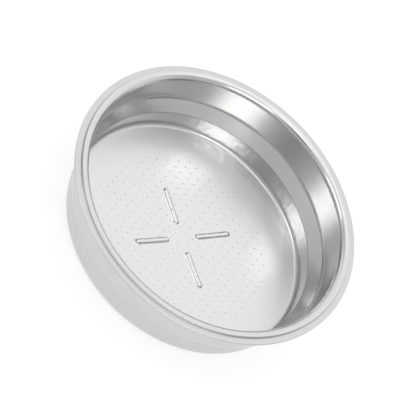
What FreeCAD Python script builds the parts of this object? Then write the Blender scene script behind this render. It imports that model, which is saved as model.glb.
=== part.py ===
"""Espresso filter basket: one cup pressed from thin stainless sheet, with a perforated base.

Lengths are in millimetres and angles in degrees. The axis of the cup is Z, and Z = 0 is the underside
of the rim, where the basket rests in its holder. Depths are measured down from there.
"""
import FreeCAD, Part
import math
import os

import Sketcher

DIMENSIONS = [
    # the sheet, the rim and the raised ring on it
    ("sheet", 0.5, "thickness of the pressed sheet"),
    ("rim_width", 1.15, "width of the flat rim outside the raised ring"),
    ("ring_rise", 0.55, "height of the raised ring above the rim"),
    ("ring_slope", 70.0, "slope of the little step up to the raised ring"),
    ("lip_bend", 1.3, "radius of the rounded lip, on its upper side"),
    # the wall of the cup
    ("mouth_radius", 27.0, "inner radius of the mouth"),
    ("mouth_depth", 6.1, "inner depth where the mouth would meet the shoulder without their bend"),
    ("shoulder_angle", 37.0, "angle between the shoulder and the upright wall"),
    ("shoulder_bend", 1.5, "inner radius of the bend from the mouth into the shoulder"),
    ("step_width", 2.0, "how much the shoulder takes off the radius"),
    # the base
    ("well_depth", 5.55, "depth of the perforated disc below the crease of the shoulder"),
    ("corner_bend", 0.8, "inner radius of the bend from the wall into the base"),
    ("margin_width", 6.2, "width of the plain margin between the wall and the perforated disc"),
    ("margin_slope", 7.3, "slope of that margin, up towards the wall"),
    # the perforation
    ("hole_pitch", 1.73, "distance between holes, both ways"),
    ("hole_across", 0.35, "side of a hole, with the area of a round one 0.4 wide"),
    ("hole_margin", 0.6, "least distance from the centre of a hole to the edge of the disc"),
    ("hole_turn", 3.1, "turn of the rows of holes from the X axis"),
    # the stiffening ribs
    ("rib_count", 4, "ribs round the axis"),
    ("rib_turn", 57.3, "direction of the first rib from the X axis"),
    ("rib_start", 3.0, "distance from the axis to the inner end of a rib"),
    ("rib_length", 8.1, "length of a rib over its round ends"),
    ("rib_width", 1.1, "width of a rib at its foot"),
    ("rib_height", 0.45, "height of a rib above the base"),
    ("groove_width", 0.6, "width of the groove under a rib"),
    ("groove_depth", 0.35, "depth of the groove under a rib"),
]

STEP_RADIUS = "(size.mouth_radius - size.step_width)"
STEP_DEPTH = "(size.mouth_depth + size.step_width / tan(size.shoulder_angle))"
FLOOR_RADIUS = f"({STEP_RADIUS} - size.margin_width)"
FLOOR_DEPTH = f"({STEP_DEPTH} + size.well_depth)"

doc = FreeCAD.newDocument("espresso_basket")
sheet = doc.addObject("Spreadsheet::Sheet", "size")
for row, (alias, value, note) in enumerate(DIMENSIONS, start=1):
    sheet.set(f"A{row}", note)
    sheet.set(f"B{row}", str(value))
    sheet.setAlias(f"B{row}", alias)
doc.recompute()


def value_of(formula):
    """The number that a formula of the sheet's names comes to."""
    return float(sheet.evalExpression(formula))


def bend(r, z, radius, start, sweep, flats):
    """Points of a bend about the centre (r, z), drawn as a few short flats that end on its arc."""
    points = []
    for step in range(flats + 1):
        angle = f"({start} + ({sweep}) * {step} / {flats})"
        points.append((f"{r} + ({radius}) * cos{angle}", f"{z} + ({radius}) * sin{angle}"))
    return points


def own_plane(body, role):
    return next(plane for plane in body.Origin.OriginFeatures if plane.Role == role)


def sketch_on(body, role, name):
    sketch = body.newObject("Sketcher::SketchObject", name)
    sketch.AttachmentSupport = [(own_plane(body, role), "")]
    sketch.MapMode = "FlatFace"
    return sketch


def bind(sketch, constraint, formula):
    """Add a distance or radius and tie it to the sheet."""
    index = sketch.addConstraint(constraint)
    sketch.setExpression(f"Constraints[{index}]", formula)


def cup_outline():
    """The section of the sheet as (radius, height) formulas, up the inside and down the outside."""
    bend_r = "size.mouth_radius - size.shoulder_bend"
    bend_z = "-size.mouth_depth + size.shoulder_bend * tan(size.shoulder_angle / 2)"
    corner_r = f"{STEP_RADIUS} - size.corner_bend"
    corner_z = (f"-{FLOOR_DEPTH} + (size.margin_width - size.corner_bend) * tan(size.margin_slope)"
                " + size.corner_bend / cos(size.margin_slope)")
    corner_sweep = "90 - size.margin_slope"
    lip_r = "size.mouth_radius + size.lip_bend"
    lip_z = "size.sheet + size.ring_rise - size.lip_bend"
    ring_top_r = f"{lip_r} + size.sheet * tan(size.ring_slope / 2)"
    step_run = "size.ring_rise / tan(size.ring_slope)"

    inside = [("0", f"-{FLOOR_DEPTH}"), (FLOOR_RADIUS, f"-{FLOOR_DEPTH}")]
    inside += bend(corner_r, corner_z, "size.corner_bend", "size.margin_slope - 90", corner_sweep, 2)
    inside += [(STEP_RADIUS, f"-{STEP_DEPTH}")]
    inside += bend(bend_r, bend_z, "size.shoulder_bend", "-size.shoulder_angle", "size.shoulder_angle", 1)
    inside += bend(lip_r, lip_z, "size.lip_bend", "180", "-90", 2)

    rim = [(ring_top_r, "size.sheet + size.ring_rise"),
           (f"{ring_top_r} + {step_run}", "size.sheet"),
           (f"{ring_top_r} + {step_run} + size.rim_width", "size.sheet"),
           (f"{ring_top_r} + {step_run} + size.rim_width", "0"),
           (f"{lip_r} + {step_run}", "0")]

    outside = bend(lip_r, lip_z, "size.lip_bend - size.sheet", "90", "90", 1)
    outside += bend(bend_r, bend_z, "size.shoulder_bend + size.sheet", "0", "-size.shoulder_angle", 1)
    outside += [(f"{STEP_RADIUS} + size.sheet", f"-{STEP_DEPTH} + size.sheet * tan(size.shoulder_angle / 2)")]
    outside += bend(corner_r, corner_z, "size.corner_bend + size.sheet", "0", f"-({corner_sweep})", 2)
    outside += [(f"{FLOOR_RADIUS} + size.sheet * tan(size.margin_slope / 2)", f"-{FLOOR_DEPTH} - size.sheet"),
                ("0", f"-{FLOOR_DEPTH} - size.sheet")]
    return inside + rim + outside


def turned_cup(body):
    """The cup and its rim, turned about the Z axis."""
    outline = cup_outline()
    sketch = sketch_on(body, "XZ_Plane", "section")
    corners = [FreeCAD.Vector(value_of(r), value_of(z), 0) for r, z in outline]
    ends = corners[1:] + corners[:1]
    sketch.addGeometry([Part.LineSegment(a, b) for a, b in zip(corners, ends)], False)
    for line, (r, z) in enumerate(outline):
        sketch.addConstraint(Sketcher.Constraint("Coincident", (line - 1) % len(outline), 2, line, 1))
        if r == "0":
            sketch.addConstraint(Sketcher.Constraint("PointOnObject", line, 1, -2))
        else:
            bind(sketch, Sketcher.Constraint("DistanceX", -1, 1, line, 1, corners[line].x), r)
        if z == "0":
            sketch.addConstraint(Sketcher.Constraint("PointOnObject", line, 1, -1))
        else:
            bind(sketch, Sketcher.Constraint("DistanceY", -1, 1, line, 1, corners[line].y), z)
    cup = body.newObject("PartDesign::Revolution", "cup")
    cup.Profile = sketch
    cup.ReferenceAxis = (sketch, ["V_Axis"])
    cup.Angle = 360
    sketch.Visibility = False


def slot_sketch(body, name, width, depth):
    """A radial slot with round ends, as long as a rib, at a depth and in the first rib's direction."""
    sketch = sketch_on(body, "XY_Plane", name)
    sketch.setExpression(".AttachmentOffset.Base.z", f"-({depth})")
    sketch.setExpression(".AttachmentOffset.Rotation.Angle", "size.rib_turn")
    half = value_of(f"({width}) / 2")
    near_end = "size.rib_start + size.rib_width / 2"
    far_end = "size.rib_start + size.rib_length - size.rib_width / 2"
    start = value_of(near_end)
    stop = value_of(far_end)
    up = FreeCAD.Vector(0, 0, 1)
    quarter = math.pi / 2
    inner_end = Part.ArcOfCircle(Part.Circle(FreeCAD.Vector(start, 0, 0), up, half), quarter, 3 * quarter)
    outer_end = Part.ArcOfCircle(Part.Circle(FreeCAD.Vector(stop, 0, 0), up, half), -quarter, quarter)
    near = Part.LineSegment(FreeCAD.Vector(start, -half, 0), FreeCAD.Vector(stop, -half, 0))
    far = Part.LineSegment(FreeCAD.Vector(stop, half, 0), FreeCAD.Vector(start, half, 0))
    sketch.addGeometry([inner_end, near, outer_end, far], False)
    sketch.addConstraint([Sketcher.Constraint("Tangent", 0, 2, 1, 1),
                          Sketcher.Constraint("Tangent", 1, 2, 2, 1),
                          Sketcher.Constraint("Tangent", 2, 2, 3, 1),
                          Sketcher.Constraint("Tangent", 3, 2, 0, 1),
                          Sketcher.Constraint("PointOnObject", 0, 3, -1),
                          Sketcher.Constraint("PointOnObject", 2, 3, -1),
                          Sketcher.Constraint("Equal", 0, 2)])
    bind(sketch, Sketcher.Constraint("DistanceX", -1, 1, 0, 3, start), near_end)
    bind(sketch, Sketcher.Constraint("DistanceX", -1, 1, 2, 3, stop), far_end)
    bind(sketch, Sketcher.Constraint("Radius", 0, half), f"({width}) / 2")
    sketch.Visibility = False
    return sketch


def round_the_axis(body, feature, name):
    """Repeat a rib's feature round the axis."""
    pattern = body.newObject("PartDesign::PolarPattern", name)
    pattern.Originals = [feature]
    pattern.Axis = (own_plane(body, "Z_Axis"), [""])
    pattern.Angle = 360
    pattern.setExpression("Occurrences", "size.rib_count")
    body.Tip = pattern
    doc.recompute()


def pressed_ribs(body):
    """The ribs that stand up inside the cup, and the grooves that the press leaves under them."""
    rib = body.newObject("PartDesign::Pad", "rib")
    rib.Profile = slot_sketch(body, "rib_foot", "size.rib_width", FLOOR_DEPTH)
    rib.setExpression("Length", "size.rib_height")
    doc.recompute()
    round_the_axis(body, rib, "ribs")

    solid_volume = body.Shape.Volume
    groove = body.newObject("PartDesign::Pocket", "groove")
    groove.Profile = slot_sketch(body, "groove_mouth", "size.groove_width", f"{FLOOR_DEPTH} + size.sheet")
    groove.Reversed = True
    groove.setExpression("Length", "size.groove_depth")
    doc.recompute()
    round_the_axis(body, groove, "grooves")
    if body.Shape.Volume >= solid_volume:
        raise ValueError("the grooves cut nothing from the base")


def perforation():
    """The square lattice of holes as one set of prisms that pass through the base and the ribs."""
    pitch = value_of("size.hole_pitch")
    half = value_of("size.hole_across / 2")
    reach = value_of(f"({FLOOR_RADIUS} - size.hole_margin) / size.hole_pitch")
    rows = range(-math.floor(reach), math.floor(reach) + 1)
    sketch = doc.addObject("Sketcher::SketchObject", "hole_lattice")
    sides = []
    for row in rows:
        for column in rows:
            if math.hypot(row, column) > reach:
                continue
            ring = [FreeCAD.Vector(pitch * column + half * across, pitch * row + half * along, 0)
                    for across, along in ((-1, -1), (1, -1), (1, 1), (-1, 1))]
            sides += [Part.LineSegment(a, b) for a, b in zip(ring, ring[1:] + ring[:1])]
    sketch.addGeometry(sides, False)
    sketch.setExpression(".Placement.Base.z", f"-{FLOOR_DEPTH} - size.sheet - 1")
    sketch.setExpression(".Placement.Rotation.Angle", "size.hole_turn")
    sketch.Visibility = False
    prisms = doc.addObject("Part::Extrusion", "hole_prisms")
    prisms.Base = sketch
    prisms.DirMode = "Custom"
    prisms.Dir = FreeCAD.Vector(0, 0, 1)
    prisms.Solid = True
    prisms.FaceMakerClass = "Part::FaceMakerSimple"
    prisms.setExpression("LengthFwd", "size.sheet + size.rib_height + 2")
    prisms.Visibility = False
    return prisms


def filter_basket():
    body = doc.addObject("PartDesign::Body", "pressed_cup")
    turned_cup(body)
    doc.recompute()
    pressed_ribs(body)
    holes = perforation()
    doc.recompute()
    basket = doc.addObject("Part::Cut", "filter_basket")
    basket.Base = body
    basket.Tool = holes
    basket.Label = "filter_basket"
    basket.Placement = FreeCAD.Placement()
    doc.recompute()
    if basket.Shape.Volume >= body.Shape.Volume:
        raise ValueError("the holes cut nothing from the base")
    return basket


def save(part):
    """Write the part once everything in the document is sound."""
    for item in doc.Objects:
        if "Invalid" in item.State or "Error" in item.State:
            raise ValueError(f"{item.Name} failed: {item.State}")
    if part.Shape.isNull() or not part.Shape.isValid() or len(part.Shape.Solids) != 1:
        raise ValueError(f"{part.Label} isn't one sound solid")
    os.makedirs("parts", exist_ok=True)
    part.Shape.exportStep(f"parts/{part.Label}.step")
    box = part.Shape.BoundBox
    print(f"{part.Label}: {box.XLength:.2f} x {box.YLength:.2f} x {box.ZLength:.2f} mm, "
          f"{part.Shape.Volume:.1f} cubic mm, {len(part.Shape.Faces)} faces")


save(filter_basket())
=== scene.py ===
"""Studio picture of a pressed steel filter basket for an espresso machine, on a plain white floor."""

import math

import bpy
import numpy as np
from mathutils import Matrix, Vector
from mathutils.geometry import delaunay_2d_cdt


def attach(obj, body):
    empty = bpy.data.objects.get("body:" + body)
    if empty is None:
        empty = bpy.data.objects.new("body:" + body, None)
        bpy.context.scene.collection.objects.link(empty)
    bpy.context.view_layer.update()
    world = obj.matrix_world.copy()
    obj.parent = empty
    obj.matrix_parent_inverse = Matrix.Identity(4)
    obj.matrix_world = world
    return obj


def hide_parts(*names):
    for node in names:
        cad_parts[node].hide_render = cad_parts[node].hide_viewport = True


MM = 0.001

# The sheet and its section, in millimetres above the seat under the rim
SHEET = 0.5
RIM_RADIUS = 30.0
RING_RADIUS = 28.85
RING_RISE = 0.55
RING_SLOPE = math.radians(70)
MOUTH_RADIUS = 27.0
LIP_BEND = 1.3
SHOULDER_ANGLE = math.radians(37)
SHOULDER_BEND = 1.5
STEP_RADIUS = 25.0
STEP_Z = -8.755
SCORE_WIDTH = 0.12
SCORE_DEPTH = 0.05
CORNER_BEND = 0.85
FLOOR_Z = -14.3
DISH_RADIUS = 18.8
DISH_DEPTH = 0.72
DISH_BLEND = 0.05
MARGIN_SLOPE = math.tan(math.radians(3.5))
MARGIN_END = STEP_RADIUS - 1.2
CORNER_Z = FLOOR_Z + DISH_DEPTH + (STEP_RADIUS - DISH_RADIUS) * MARGIN_SLOPE
EDGE_BEND = 0.12
RING_EDGE_BEND = 0.06
RING_UNDER_BEND = 0.15
RING_HOLLOW_BEND = 0.03
SCORE_EDGE_BEND = 0.02
SCORE_ROOT_BEND = 0.01

# The perforation and the ribs
PITCH = 1.73
HOLE_RADIUS = 0.185
FIELD_RADIUS = 18.2
LATTICE_TURN = math.radians(3.1)
RIB_TURN = math.radians(57.3)
RIB_COUNT = 4
RIB_START = 3.0
RIB_END = 11.0
RIB_HALF_WIDTH = 0.66
RIB_TOP_HALF_WIDTH = 0.22
RIB_HEIGHT = 0.38
GROOVE_HALF_WIDTH = 0.45
GROOVE_TOP_HALF_WIDTH = 0.15
GROOVE_DEPTH = 0.35

# Fineness of the mesh. A triangle fills a hole when its middle is nearer the hole's centre than
# HOLE_FILL of the distance to the hole's sides.
AROUND = 192
HOLE_SIDES = 16
BEND_STEP = math.radians(9)
MARGIN_RINGS = 12
RIB_ROW_STEP = 0.12
RIB_ROW_POINTS = 17
HOLE_CLEARANCE = 0.04
HOLE_FILL = 0.98
DISH_CLEARANCE = 0.3
SLOPE_REACH = 0.005

# The flanks of a rib are where the surface tilts beyond this height of its normal
FLANK_NORMAL = 0.9

# The wrinkles of the drawn wall: their middle below the step, and where they fade and are full
WRINKLE_DROP = 2.0
WRINKLE_FADED = 2.0
WRINKLE_FULL = 1.0
WRINKLE_DENSITY = 800.0
WRINKLE_DEPTH = 0.1

# The grain of the steel: how fine it is along each axis, and its depth
DRAWN_GRAIN = (300, 300, 900)
DRAWN_DEPTH = 0.0004
BLASTED_GRAIN = (2500, 2500, 2500)
BLASTED_DEPTH = 0.002

# How much the grain changes the roughness and the brightness of the steel, as a share of each
ROUGHNESS_SPREAD = 0.2
TINT_SPREAD = 0.04

# The studio: how far off the lamps stand, in metres, and the height that they face
LAMP_DISTANCE = 0.6
LAMP_AIM = -6.0
FLOOR_HALF_SIZE = 3.0
FLOOR_GAP = 0.02
FLOOR_MATT = 0.3
FLOOR_GLOW = 0.74

# The finish of each face: its place in the list of materials. The score at the step takes a dark
# steel, as painted shade in the crease.
# The sides of the holes take a light steel, as painted light in the holes.
POLISHED, SATIN, RIM, SHADED_SCORE, LIT_HOLE_SIDE = range(5)


def rounded(corners):
    """A section whose corners (r, z, bend radius, finish of what follows) are rounded.

    Each point comes with its normal and the finish of the face after it. The section runs with the
    metal on its right, so each normal points to its left. A bend of 0 is a plain point in a straight
    run.
    """
    points = []
    for i, (r, z, bend, finish) in enumerate(corners):
        here = np.array((r, z))
        if i in (0, len(corners) - 1):
            other = np.array(corners[1][:2]) - here if i == 0 else here - np.array(corners[-2][:2])
            along = other / np.linalg.norm(other)
            points.append((here, np.array((-along[1], along[0])), finish))
            continue
        before = here - np.array(corners[i - 1][:2])
        after = np.array(corners[i + 1][:2]) - here
        before = before / np.linalg.norm(before)
        after = after / np.linalg.norm(after)
        turn = math.atan2(before[0] * after[1] - before[1] * after[0], before @ after)
        side = math.copysign(1, turn)
        start = here - before * bend * math.tan(abs(turn) / 2)
        first = np.array((-before[1], before[0]))
        centre = start + first * side * bend
        steps = math.ceil(abs(turn) / BEND_STEP) if bend else 0
        for k in range(steps + 1):
            a = turn * k / max(steps, 1)
            normal = np.array((first[0] * math.cos(a) - first[1] * math.sin(a),
                               first[0] * math.sin(a) + first[1] * math.cos(a)))
            points.append((centre - normal * side * bend, normal, finish))
    return points


def dish(radius):
    """Height of the inside of the base: a shallow dish that runs out into a sloping margin."""
    s = 1 - (radius / DISH_RADIUS) ** 2
    depth = DISH_DEPTH * 0.5 * (s + np.sqrt(s * s + DISH_BLEND ** 2))
    return CORNER_Z - (STEP_RADIUS - np.maximum(radius, DISH_RADIUS)) * MARGIN_SLOPE - depth


def ridge(x, y, half_width, top_half_width, height):
    """Height of the four radial ribs over the base: a flat top with soft flanks and round ends."""
    lift = np.zeros_like(x)
    for k in range(RIB_COUNT):
        a = RIB_TURN + math.tau * k / RIB_COUNT
        along = x * math.cos(a) + y * math.sin(a)
        across = y * math.cos(a) - x * math.sin(a)
        nearest = np.clip(along, RIB_START + half_width, RIB_END - half_width)
        away = (np.hypot(along - nearest, across) - top_half_width) / (half_width - top_half_width)
        lift += height * 0.5 * (1 + np.cos(math.pi * np.clip(away, 0, 1)))
    return lift


def floor_top(x, y):
    return dish(np.hypot(x, y)) + ridge(x, y, RIB_HALF_WIDTH, RIB_TOP_HALF_WIDTH, RIB_HEIGHT)


def floor_under(x, y):
    groove = ridge(x, y, GROOVE_HALF_WIDTH, GROOVE_TOP_HALF_WIDTH, GROOVE_DEPTH)
    return dish(np.hypot(x, y)) - SHEET + groove


def surface_normals(height, x, y, up):
    e = SLOPE_REACH
    dx = (height(x + e, y) - height(x - e, y)) / (2 * e)
    dy = (height(x, y + e) - height(x, y - e)) / (2 * e)
    n = np.stack([-dx, -dy, np.ones_like(x)], 1)
    return up * n / np.linalg.norm(n, axis=1, keepdims=True)


def hole_centres():
    reach = FIELD_RADIUS / PITCH
    rows = range(-math.floor(reach), math.floor(reach) + 1)
    c, s = math.cos(LATTICE_TURN), math.sin(LATTICE_TURN)
    return np.array([(PITCH * (i * c - j * s), PITCH * (i * s + j * c))
                     for i in rows for j in rows if math.hypot(i, j) <= reach])


class Shell:
    """Collects vertices, faces and a normal for each corner of each face."""

    def __init__(self):
        self.points = []
        self.faces = []
        self.normals = []
        self.finish = []

    def add_points(self, points):
        start = len(self.points)
        self.points.extend(points)
        return start

    def add_face(self, corners, normals, finish):
        self.faces.append(corners)
        self.normals.extend(normals)
        self.finish.append(finish)

    def make(self, name, materials):
        mesh = bpy.data.meshes.new(name)
        mesh.from_pydata([tuple(MM * v for v in p) for p in self.points], [], self.faces)
        for material in materials:
            mesh.materials.append(material)
        mesh.polygons.foreach_set("material_index", self.finish)
        mesh.polygons.foreach_set("use_smooth", [True] * len(self.faces))
        mesh.normals_split_custom_set([tuple(n) for n in self.normals])
        mesh.update()
        piece = bpy.data.objects.new(name, mesh)
        bpy.context.scene.collection.objects.link(piece)
        return piece


def lathe(shell, section):
    """Turn a section about the axis. Gives the index of each ring's first point."""
    angles = [math.tau * k / AROUND for k in range(AROUND)]
    rings = [shell.add_points([(p[0] * math.cos(a), p[0] * math.sin(a), p[1]) for a in angles])
             for p, _, _ in section]
    for i in range(len(section) - 1):
        for k in range(AROUND):
            n = (k + 1) % AROUND
            corners = (rings[i] + k, rings[i + 1] + k, rings[i + 1] + n, rings[i] + n)
            normals = []
            for which, a in ((i, angles[k]), (i + 1, angles[k]), (i + 1, angles[n]), (i, angles[n])):
                r, z = section[which][1]
                normals.append((r * math.cos(a), r * math.sin(a), z))
            shell.add_face(corners, normals, section[i][2])
    return rings


def base_pattern(centres):
    """The flat pattern of the base: rim points, hole points and points in between, in triangles.

    The place of each rim point and hole point in the pattern comes with it.
    """
    points = [(DISH_RADIUS * math.cos(a), DISH_RADIUS * math.sin(a))
              for a in (math.tau * k / AROUND for k in range(AROUND))]
    edges = [(k, (k + 1) % AROUND) for k in range(AROUND)]
    for cx, cy in centres:
        first = len(points)
        for k in range(HOLE_SIDES):
            a = math.tau * k / HOLE_SIDES
            points.append((cx + HOLE_RADIUS * math.cos(a), cy + HOLE_RADIUS * math.sin(a)))
            edges.append((first + k, first + (k + 1) % HOLE_SIDES))
    c, s = math.cos(LATTICE_TURN), math.sin(LATTICE_TURN)
    reach = math.ceil(DISH_RADIUS / PITCH) + 1
    between = [i + 0.5 for i in range(-reach, reach)]
    fill = [(PITCH * (i * c - j * s), PITCH * (i * s + j * c)) for i in between for j in between]
    for k in range(RIB_COUNT):
        a = RIB_TURN + math.tau * k / RIB_COUNT
        for along in np.arange(RIB_START, RIB_END + 0.01, RIB_ROW_STEP):
            for across in np.linspace(-RIB_HALF_WIDTH, RIB_HALF_WIDTH, RIB_ROW_POINTS):
                fill.append((along * math.cos(a) - across * math.sin(a),
                             along * math.sin(a) + across * math.cos(a)))
    fill = np.array(fill)
    gaps = np.hypot(*(fill[:, None, :] - centres[None, :, :]).transpose(2, 0, 1)).min(axis=1)
    inside = np.hypot(fill[:, 0], fill[:, 1]) < DISH_RADIUS - DISH_CLEARANCE
    keep = (gaps > HOLE_RADIUS + HOLE_CLEARANCE) & inside
    points += [tuple(p) for p in fill[keep]]
    found, _, faces, source, _, _ = delaunay_2d_cdt([Vector(p) for p in points], edges, [], 0, 1e-6)
    flat = np.array([tuple(p) for p in found])
    triangles = np.array([tuple(f) for f in faces])
    middles = flat[triangles].mean(axis=1)
    gaps = np.hypot(*(middles[:, None, :] - centres[None, :, :]).transpose(2, 0, 1)).min(axis=1)
    triangles = triangles[gaps > HOLE_RADIUS * math.cos(math.pi / HOLE_SIDES) * HOLE_FILL]
    place = {}
    for new, old in enumerate(source):
        for index in old:
            place[index] = new
    return flat, triangles, place


def perforated_base(shell, top_ring, under_ring):
    """The dished base with its holes and ribs, sewn to the rings of the lathe at its edge."""
    centres = hole_centres()
    flat, triangles, place = base_pattern(centres)
    edge = {place[k]: k for k in range(AROUND)}
    x, y = flat[:, 0], flat[:, 1]
    sides = []
    for height, ring, up in ((floor_top, top_ring, 1), (floor_under, under_ring, -1)):
        z = height(x, y)
        normals = surface_normals(height, x, y, up)
        index = [0] * len(flat)
        for i in range(len(flat)):
            if i in edge:
                index[i] = ring + edge[i]
            else:
                index[i] = shell.add_points([(x[i], y[i], z[i])])
        for a, b, c in triangles:
            area = (x[b] - x[a]) * (y[c] - y[a]) - (x[c] - x[a]) * (y[b] - y[a])
            order = (a, b, c) if area * up > 0 else (a, c, b)
            flank = up * normals[[a, b, c], 2].mean() < FLANK_NORMAL
            shell.add_face(tuple(index[i] for i in order), [tuple(normals[i]) for i in order],
                           RIM if flank else SATIN)
        sides.append(index)
    top, under = sides
    for h, (cx, cy) in enumerate(centres):
        first = AROUND + h * HOLE_SIDES
        for k in range(HOLE_SIDES):
            here, after = place[first + k], place[first + (k + 1) % HOLE_SIDES]
            inward = [((cx - x[i]) / HOLE_RADIUS, (cy - y[i]) / HOLE_RADIUS, 0) for i in (here, after)]
            # The sides of the holes are painted lighter than the steel around them: painted light in
            # the holes
            shell.add_face((top[here], top[after], under[after], under[here]),
                           [inward[0], inward[1], inward[1], inward[0]], LIT_HOLE_SIDE)


def basket_section():
    """The sheet from the dish's edge up the inside, over the rim and down the outside."""
    tangent = math.tan(SHOULDER_ANGLE)
    rise = (MOUTH_RADIUS - STEP_RADIUS) / tangent
    mitre = SHEET * math.tan(SHOULDER_ANGLE / 2)
    ring_top = RING_RADIUS - RING_RISE / math.tan(RING_SLOPE)
    ring_mitre = SHEET * math.tan(RING_SLOPE / 2)
    top = SHEET + RING_RISE
    slant = np.array((math.sin(SHOULDER_ANGLE), math.cos(SHOULDER_ANGLE))) * SCORE_WIDTH / 2
    margin_z = CORNER_Z - (STEP_RADIUS - MARGIN_END) * MARGIN_SLOPE
    corners = [
        (MARGIN_END, margin_z, 0, SATIN),
        (STEP_RADIUS, CORNER_Z, CORNER_BEND, RIM),
        (STEP_RADIUS, CORNER_Z + CORNER_BEND, 0, POLISHED),
        # The groove of the score at the step is painted dark: painted shade in the crease
        (STEP_RADIUS, STEP_Z - SCORE_WIDTH / 2, SCORE_EDGE_BEND, SHADED_SCORE),
        (STEP_RADIUS + SCORE_DEPTH, STEP_Z, SCORE_ROOT_BEND, SHADED_SCORE),
        (STEP_RADIUS + slant[0], STEP_Z + slant[1], SCORE_EDGE_BEND, POLISHED),
        (MOUTH_RADIUS, STEP_Z + rise, SHOULDER_BEND, POLISHED),
        (MOUTH_RADIUS, top, LIP_BEND, POLISHED),
        (ring_top, top, RING_EDGE_BEND, POLISHED),
        (RING_RADIUS, SHEET, RING_EDGE_BEND, RIM),
        (RIM_RADIUS, SHEET, EDGE_BEND, RIM),
        (RIM_RADIUS, 0, EDGE_BEND, RIM),
        (RING_RADIUS - ring_mitre, 0, RING_UNDER_BEND, POLISHED),
        (ring_top - ring_mitre, RING_RISE, RING_HOLLOW_BEND, POLISHED),
        (MOUTH_RADIUS + SHEET, RING_RISE, LIP_BEND - SHEET, POLISHED),
        (MOUTH_RADIUS + SHEET, STEP_Z + rise - mitre, SHOULDER_BEND + SHEET, POLISHED),
        (STEP_RADIUS + SHEET, STEP_Z + mitre, EDGE_BEND, POLISHED),
        (STEP_RADIUS + SHEET, CORNER_Z - SHEET * (1 - MARGIN_SLOPE), CORNER_BEND + SHEET, SATIN),
        (MARGIN_END, margin_z - SHEET, 0, SATIN),
    ]
    return rounded(corners)


def margin(under):
    """Points of the plain margin between the dish's edge and the corner bend."""
    radii = np.linspace(DISH_RADIUS, MARGIN_END, MARGIN_RINGS)[:-1]
    drop = SHEET if under else 0
    side = -1 if under else 1
    points = []
    for r in radii:
        slope = (dish(r + SLOPE_REACH) - dish(r - SLOPE_REACH)) / (2 * SLOPE_REACH)
        normal = np.array((-slope, 1.0)) / math.hypot(slope, 1)
        points.append((np.array((r, dish(r) - drop)), side * normal, SATIN))
    return points[::-1] if under else points


def node(nodes, kind, **settings):
    made = nodes.new(kind)
    for name, value in settings.items():
        setattr(made, name, value)
    return made


def steel(name, color, roughness, grain_scale, grain_depth, wrinkles=0.0):
    """Stainless steel: fine directional grain, and faint wrinkles in the drawn wall below the step."""
    material = bpy.data.materials.new(name)
    material.use_nodes = True
    nodes, links = material.node_tree.nodes, material.node_tree.links
    shader = nodes["Principled BSDF"]
    shader.inputs["Metallic"].default_value = 1.0
    place = node(nodes, "ShaderNodeTexCoord")
    scale = node(nodes, "ShaderNodeMapping")
    scale.inputs["Scale"].default_value = grain_scale
    links.new(place.outputs["Object"], scale.inputs["Vector"])
    noise = node(nodes, "ShaderNodeTexNoise")
    noise.inputs["Scale"].default_value = 1.0
    noise.inputs["Detail"].default_value = 4.0
    links.new(scale.outputs["Vector"], noise.inputs["Vector"])
    rough = node(nodes, "ShaderNodeMapRange")
    rough.inputs["To Min"].default_value = roughness * (1 - ROUGHNESS_SPREAD)
    rough.inputs["To Max"].default_value = roughness * (1 + ROUGHNESS_SPREAD)
    links.new(noise.outputs["Fac"], rough.inputs["Value"])
    links.new(rough.outputs["Result"], shader.inputs["Roughness"])
    tint = node(nodes, "ShaderNodeMapRange")
    tint.inputs["To Min"].default_value = 1 - TINT_SPREAD
    tint.inputs["To Max"].default_value = 1 + TINT_SPREAD
    links.new(noise.outputs["Fac"], tint.inputs["Value"])
    shade = node(nodes, "ShaderNodeVectorMath", operation="SCALE")
    shade.inputs[0].default_value = color
    links.new(tint.outputs["Result"], shade.inputs["Scale"])
    links.new(shade.outputs["Vector"], shader.inputs["Base Color"])
    bump = node(nodes, "ShaderNodeBump")
    bump.inputs["Strength"].default_value = 1.0
    bump.inputs["Distance"].default_value = grain_depth * MM
    links.new(noise.outputs["Fac"], bump.inputs["Height"])
    if wrinkles:
        height = node(nodes, "ShaderNodeSeparateXYZ")
        links.new(place.outputs["Object"], height.inputs["Vector"])
        away = node(nodes, "ShaderNodeMath", operation="SUBTRACT")
        away.inputs[1].default_value = (STEP_Z - WRINKLE_DROP) * MM
        links.new(height.outputs["Z"], away.inputs[0])
        size = node(nodes, "ShaderNodeMath", operation="ABSOLUTE")
        links.new(away.outputs["Value"], size.inputs[0])
        near = node(nodes, "ShaderNodeMapRange", interpolation_type="SMOOTHSTEP")
        near.inputs["From Min"].default_value = WRINKLE_FADED * MM
        near.inputs["From Max"].default_value = WRINKLE_FULL * MM
        links.new(size.outputs["Value"], near.inputs["Value"])
        folds = node(nodes, "ShaderNodeTexNoise")
        folds.inputs["Scale"].default_value = WRINKLE_DENSITY
        folds.inputs["Detail"].default_value = 2.0
        links.new(place.outputs["Object"], folds.inputs["Vector"])
        depth = node(nodes, "ShaderNodeMath", operation="MULTIPLY")
        links.new(near.outputs["Result"], depth.inputs[0])
        links.new(folds.outputs["Fac"], depth.inputs[1])
        drawn = node(nodes, "ShaderNodeBump")
        drawn.inputs["Distance"].default_value = wrinkles * MM
        links.new(depth.outputs["Value"], drawn.inputs["Height"])
        links.new(drawn.outputs["Normal"], bump.inputs["Normal"])
    links.new(bump.outputs["Normal"], shader.inputs["Normal"])
    return material


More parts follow.
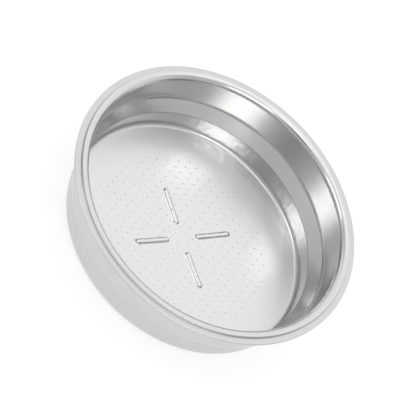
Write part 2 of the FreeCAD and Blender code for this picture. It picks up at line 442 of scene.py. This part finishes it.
def filter_basket():
    materials = [
        steel("polished_steel", (0.615, 0.615, 0.61), 0.19, DRAWN_GRAIN, DRAWN_DEPTH, WRINKLE_DEPTH),
        steel("satin_steel", (0.68, 0.68, 0.675), 0.33, BLASTED_GRAIN, BLASTED_DEPTH),
        steel("rim_steel", (0.57, 0.57, 0.565), 0.30, DRAWN_GRAIN, DRAWN_DEPTH),
        # A dark steel for the score at the step: painted shade in the crease
        steel("score_painted_shade", (0.25, 0.25, 0.25), 0.50, DRAWN_GRAIN, DRAWN_DEPTH),
        # A light steel for the sides of the holes: painted light in the holes
        steel("hole_side_painted_light", (0.92, 0.92, 0.915), 0.38, DRAWN_GRAIN, DRAWN_DEPTH),
    ]
    shell = Shell()
    section = margin(under=False) + basket_section() + margin(under=True)
    rings = lathe(shell, section)
    perforated_base(shell, rings[0], rings[-1])
    piece = shell.make("pressed_basket", materials)
    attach(piece, "root")
    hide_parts("filter_basket")


def direction(azimuth, elevation):
    a, e = math.radians(azimuth), math.radians(elevation)
    return Vector((math.cos(a) * math.cos(e), math.sin(a) * math.cos(e), math.sin(e)))


def softbox(name, azimuth, elevation, brightness, width, height):
    """A soft rectangular lamp that faces the middle of the basket; brightness 1 is white."""
    back = direction(azimuth, elevation)
    data = bpy.data.lights.new(name, "AREA")
    data.shape = "RECTANGLE"
    data.size, data.size_y = width, height
    data.energy = brightness * math.pi * width * height
    lamp = bpy.data.objects.new(name, data)
    lamp.location = Vector((0, 0, LAMP_AIM * MM)) + back * LAMP_DISTANCE
    lamp.rotation_mode = "QUATERNION"
    lamp.rotation_quaternion = back.to_track_quat("Z", "Y")
    bpy.context.scene.collection.objects.link(lamp)


def surroundings(level, lobes):
    """A grey studio that grows lighter or darker towards some directions.

    Each lobe is an azimuth, an elevation, the angles where it is full and where it has faded, and
    what it adds to the level.
    """
    world = bpy.data.worlds.new("studio")
    bpy.context.scene.world = world
    world.use_nodes = True
    nodes, links = world.node_tree.nodes, world.node_tree.links
    where = node(nodes, "ShaderNodeTexCoord").outputs["Generated"]
    total = None
    for azimuth, elevation, full, faded, add in lobes:
        dot = node(nodes, "ShaderNodeVectorMath", operation="DOT_PRODUCT")
        dot.inputs[1].default_value = direction(azimuth, elevation)
        links.new(where, dot.inputs[0])
        lobe = node(nodes, "ShaderNodeMapRange", interpolation_type="SMOOTHSTEP")
        lobe.inputs["From Min"].default_value = math.cos(math.radians(faded))
        lobe.inputs["From Max"].default_value = math.cos(math.radians(full))
        lobe.inputs["To Max"].default_value = add
        links.new(dot.outputs["Value"], lobe.inputs["Value"])
        sum_up = node(nodes, "ShaderNodeMath", operation="ADD")
        sum_up.inputs[0].default_value = level
        if total:
            links.new(total, sum_up.inputs[0])
        links.new(lobe.outputs["Result"], sum_up.inputs[1])
        total = sum_up.outputs["Value"]
    links.new(total, nodes["Background"].inputs["Strength"])
    nodes["Background"].inputs["Color"].default_value = (1, 1, 1, 1)


def white_floor():
    """A floor that looks white to the camera and in the steel, and still takes a soft shadow."""
    half = FLOOR_HALF_SIZE
    low = (FLOOR_Z - SHEET - FLOOR_GAP) * MM
    mesh = bpy.data.meshes.new("floor")
    mesh.from_pydata([(-half, -half, low), (half, -half, low), (half, half, low), (-half, half, low)],
                     [], [(0, 1, 2, 3)])
    floor = bpy.data.objects.new("floor", mesh)
    bpy.context.scene.collection.objects.link(floor)
    white = bpy.data.materials.new("white_floor")
    white.use_nodes = True
    nodes, links = white.node_tree.nodes, white.node_tree.links
    matt = nodes["Principled BSDF"]
    matt.inputs["Base Color"].default_value = (FLOOR_MATT, FLOOR_MATT, FLOOR_MATT, 1)
    matt.inputs["Roughness"].default_value = 1.0
    matt.inputs["Specular IOR Level"].default_value = 0.0
    path = node(nodes, "ShaderNodeLightPath")
    direct = node(nodes, "ShaderNodeMath", operation="MAXIMUM")
    seen = node(nodes, "ShaderNodeMath", operation="MAXIMUM")
    links.new(path.outputs["Is Camera Ray"], direct.inputs[0])
    links.new(path.outputs["Is Glossy Ray"], direct.inputs[1])
    links.new(direct.outputs["Value"], seen.inputs[0])
    links.new(path.outputs["Is Transmission Ray"], seen.inputs[1])
    glow = node(nodes, "ShaderNodeEmission")
    glow.inputs["Color"].default_value = (FLOOR_GLOW, FLOOR_GLOW, FLOOR_GLOW, 1)
    links.new(seen.outputs["Value"], glow.inputs["Strength"])
    both = node(nodes, "ShaderNodeAddShader")
    links.new(matt.outputs["BSDF"], both.inputs[0])
    links.new(glow.outputs["Emission"], both.inputs[1])
    links.new(both.outputs["Shader"], nodes["Material Output"].inputs["Surface"])
    mesh.materials.append(white)


def studio():
    surroundings(0.67, [
        (90, 48, 25, 55, 0.5),
        (0, 90, 22, 42, 0.35),
        (-98, 44, 6, 14, -0.6),
        (-90, 68, 9, 20, 0.6),
        (152, 13, 16, 30, 0.3),
        (28, 13, 16, 30, 0.3),
    ])
    softbox("left_softbox", 207, 39, 5.1, 0.25, 0.12)
    softbox("right_softbox", -51, 40, 5.6, 0.28, 0.12)
    white_floor()


def camera():
    """The view: a long lens 48 degrees above the rim, rolled so that the basket leans.

    Angles are in radians, and the distance in rim radii. The focal length and the middle of the
    rim's top, from the middle of the picture, are in pixels of a picture 420 wide.
    """
    width_px, focal_px = 420, 2600.0
    elevation, lean = 0.8347, -0.7891
    off_x, off_y, distance = 8.2422, -8.1766, 16.3895
    level = np.array((1.0, 0.0, 0.0))
    above = np.array((0.0, math.sin(elevation), math.cos(elevation)))
    ahead = np.array((0.0, math.cos(elevation), -math.sin(elevation)))
    right = above * math.cos(lean) - level * math.sin(lean)
    down = above * math.sin(lean) + level * math.cos(lean)
    place = -distance * (right * off_x / focal_px + down * off_y / focal_px + ahead)
    place = (place * RIM_RADIUS + (0, 0, SHEET)) * MM
    data = bpy.data.cameras.new("camera")
    data.sensor_width = 36.0
    data.lens = data.sensor_width * focal_px / width_px
    data.clip_start = 0.01
    data.clip_end = 20
    viewer = bpy.data.objects.new("camera", data)
    turn = Matrix((right, -down, -ahead)).transposed()
    viewer.matrix_world = Matrix.Translation(Vector(place)) @ turn.to_4x4()
    bpy.context.scene.collection.objects.link(viewer)
    bpy.context.scene.camera = viewer


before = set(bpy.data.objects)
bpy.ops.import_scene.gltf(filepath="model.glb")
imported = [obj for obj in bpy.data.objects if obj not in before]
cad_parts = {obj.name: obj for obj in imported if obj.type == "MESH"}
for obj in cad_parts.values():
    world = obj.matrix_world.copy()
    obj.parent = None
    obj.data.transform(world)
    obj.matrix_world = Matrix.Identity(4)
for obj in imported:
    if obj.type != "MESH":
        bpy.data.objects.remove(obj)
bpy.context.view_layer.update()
bpy.context.scene.view_settings.view_transform = "Standard"
filter_basket()
studio()
camera()
bpy.context.view_layer.update()
